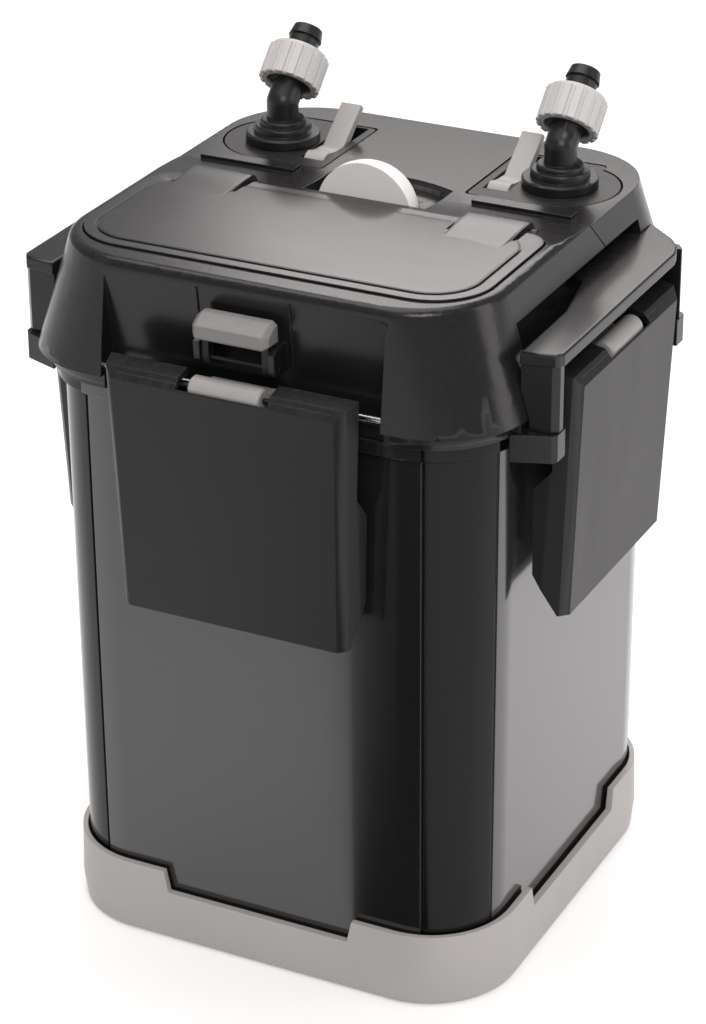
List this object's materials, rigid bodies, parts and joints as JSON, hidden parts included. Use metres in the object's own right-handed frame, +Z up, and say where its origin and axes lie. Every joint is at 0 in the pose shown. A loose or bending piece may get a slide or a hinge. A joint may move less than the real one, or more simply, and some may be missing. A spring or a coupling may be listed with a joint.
{
  "type": "canister filter",
  "caption": "Square external canister filter with clip-on pump head, hinged prefilter lid, primer button, swivel hose elbows, side clips, carrying handles and a notched base tray.",
  "frame": {"origin": "middle of the bottom, on the plane the pads stand on", "axes": "+X right, +Y back, +Z up; the prefilter lid and its latch face -Y"},
  "size_m": [0.307, 0.307, 0.4512],
  "materials": {
    "silver_plastic": "fine satin, silver grey",
    "rubber": "matte",
    "smoked_gloss": "high gloss, dark smoke",
    "basket_plastic": "satin",
    "sponge": "open-cell foam",
    "charcoal_satin": "fine grained satin",
    "cover_sheen": "smooth satin with a soft sheen",
    "grey_plastic": "satin grey",
    "pale_plastic": "smooth satin",
    "steel": "brushed",
    "motor_resin": "cast, smooth"
  },
  "bodies": {
    "canister_body": {"base_foot": "silver_plastic", "foot_pads": "rubber", "canister": "smoked_gloss", "basket_lower": "basket_plastic", "basket_middle": "basket_plastic", "basket_upper": "basket_plastic", "media_lower": "sponge", "media_middle": "sponge", "media_upper": "sponge", "riser_tube": "basket_plastic"},
    "head": {"head_housing": "charcoal_satin", "head_underplate": "charcoal_satin", "head_seal": "rubber", "cable_gland": "rubber", "cover_seal": "rubber", "cover_hinge_pins": "steel", "latch_pin": "steel", "prefilter_basket": "basket_plastic", "prefilter_sponge": "sponge", "clip_rods": "steel", "handle_left": "charcoal_satin", "handle_right": "charcoal_satin", "handle_screws": "steel", "inlet_block": "charcoal_satin", "outlet_block": "charcoal_satin", "lock_lever_pins": "steel", "motor_pot": "motor_resin", "rotor_shaft": "steel", "pump_cover": "charcoal_satin", "primer_spring": "steel"},
    "lid": {"front_cover": "cover_sheen"},
    "latch": {"cover_latch": "grey_plastic"},
    "primer": {"primer_button": "pale_plastic"},
    "rotor": {"impeller": "pale_plastic"},
    "inlet_swivel": {"inlet_elbow": "charcoal_satin", "inlet_hose_tail": "charcoal_satin"},
    "outlet_swivel": {"outlet_elbow": "charcoal_satin", "outlet_hose_tail": "charcoal_satin"},
    "inlet_union": {"inlet_nut": "grey_plastic"},
    "outlet_union": {"outlet_nut": "grey_plastic"},
    "inlet_lever": {"inlet_lock_lever": "grey_plastic"},
    "outlet_lever": {"outlet_lock_lever": "grey_plastic"},
    "clip_link_front": {"clip_bracket_front": "grey_plastic", "clip_axle_front": "steel"},
    "clip_front": {"clip_lever_front": "charcoal_satin"},
    "clip_link_right": {"clip_bracket_right": "grey_plastic", "clip_axle_right": "steel"},
    "clip_right": {"clip_lever_right": "charcoal_satin"},
    "clip_link_back": {"clip_bracket_back": "grey_plastic", "clip_axle_back": "steel"},
    "clip_back": {"clip_lever_back": "charcoal_satin"},
    "clip_link_left": {"clip_bracket_left": "grey_plastic", "clip_axle_left": "steel"},
    "clip_left": {"clip_lever_left": "charcoal_satin"}
  },
  "joints": [
    {"name": "head_lift", "type": "slide", "parent": "canister_body", "child": "head", "axis": [0, 0, 1], "range_m": [0, 0.15]},
    {"name": "lid_hinge", "type": "hinge", "parent": "head", "child": "lid", "pos_m": [0, -0.002, 0.393], "axis": [-1, 0, 0], "range_deg": [0, 90]},
    {"name": "latch_hinge", "type": "hinge", "parent": "head", "child": "latch", "pos_m": [0, -0.1345, 0.357], "axis": [1, 0, 0], "range_deg": [0, 12], "stiffness_Nm_per_rad": 0.05, "springref_deg": -11.46},
    {"name": "primer_press", "type": "slide", "parent": "head", "child": "primer", "axis": [0, 0, -1], "range_m": [0, 0.009], "stiffness_N_per_m": 120, "springref_m": -0.004, "deforming": ["primer_spring"]},
    {"name": "rotor_spin", "type": "hinge", "parent": "head", "child": "rotor", "pos_m": [0, 0.04, 0.3], "axis": [0, 0, 1], "continuous": true},
    {"name": "inlet_swivel", "type": "hinge", "parent": "head", "child": "inlet_swivel", "pos_m": [-0.082, 0.071, 0.4], "axis": [0, 0, 1], "continuous": true},
    {"name": "inlet_nut_turn", "type": "hinge", "parent": "inlet_swivel", "child": "inlet_union", "pos_m": [-0.082, 0.071, 0.414], "axis": [0, 0.7071, 0.7071], "continuous": true},
    {"name": "inlet_lock", "type": "hinge", "parent": "head", "child": "inlet_lever", "pos_m": [-0.054, 0.058, 0.387], "axis": [-1, 0, 0], "range_deg": [0, 36]},
    {"name": "outlet_swivel", "type": "hinge", "parent": "head", "child": "outlet_swivel", "pos_m": [0.082, 0.071, 0.4], "axis": [0, 0, 1], "continuous": true},
    {"name": "outlet_nut_turn", "type": "hinge", "parent": "outlet_swivel", "child": "outlet_union", "pos_m": [0.082, 0.071, 0.414], "axis": [0, 0.7071, 0.7071], "continuous": true},
    {"name": "outlet_lock", "type": "hinge", "parent": "head", "child": "outlet_lever", "pos_m": [0.054, 0.058, 0.387], "axis": [-1, 0, 0], "range_deg": [0, 36]},
    {"name": "clip_link_front_swing", "type": "hinge", "parent": "head", "child": "clip_link_front", "pos_m": [0, -0.1315, 0.339], "axis": [-1, 0, 0], "range_deg": [0, 14]},
    {"name": "clip_front_lever", "type": "hinge", "parent": "clip_link_front", "child": "clip_front", "pos_m": [0, -0.1455, 0.344], "axis": [-1, 0, 0], "range_deg": [0, 80]},
    {"name": "clip_link_right_swing", "type": "hinge", "parent": "head", "child": "clip_link_right", "pos_m": [0.1315, 0, 0.339], "axis": [0, -1, 0], "range_deg": [0, 14]},
    {"name": "clip_right_lever", "type": "hinge", "parent": "clip_link_right", "child": "clip_right", "pos_m": [0.1455, 0, 0.344], "axis": [0, -1, 0], "range_deg": [0, 80]},
    {"name": "clip_link_back_swing", "type": "hinge", "parent": "head", "child": "clip_link_back", "pos_m": [0, 0.1315, 0.339], "axis": [1, 0, 0], "range_deg": [0, 14]},
    {"name": "clip_back_lever", "type": "hinge", "parent": "clip_link_back", "child": "clip_back", "pos_m": [0, 0.1455, 0.344], "axis": [1, 0, 0], "range_deg": [0, 80]},
    {"name": "clip_link_left_swing", "type": "hinge", "parent": "head", "child": "clip_link_left", "pos_m": [-0.1315, 0, 0.339], "axis": [0, 1, 0], "range_deg": [0, 14]},
    {"name": "clip_left_lever", "type": "hinge", "parent": "clip_link_left", "child": "clip_left", "pos_m": [-0.1455, 0, 0.344], "axis": [0, 1, 0], "range_deg": [0, 80]}
  ]
}
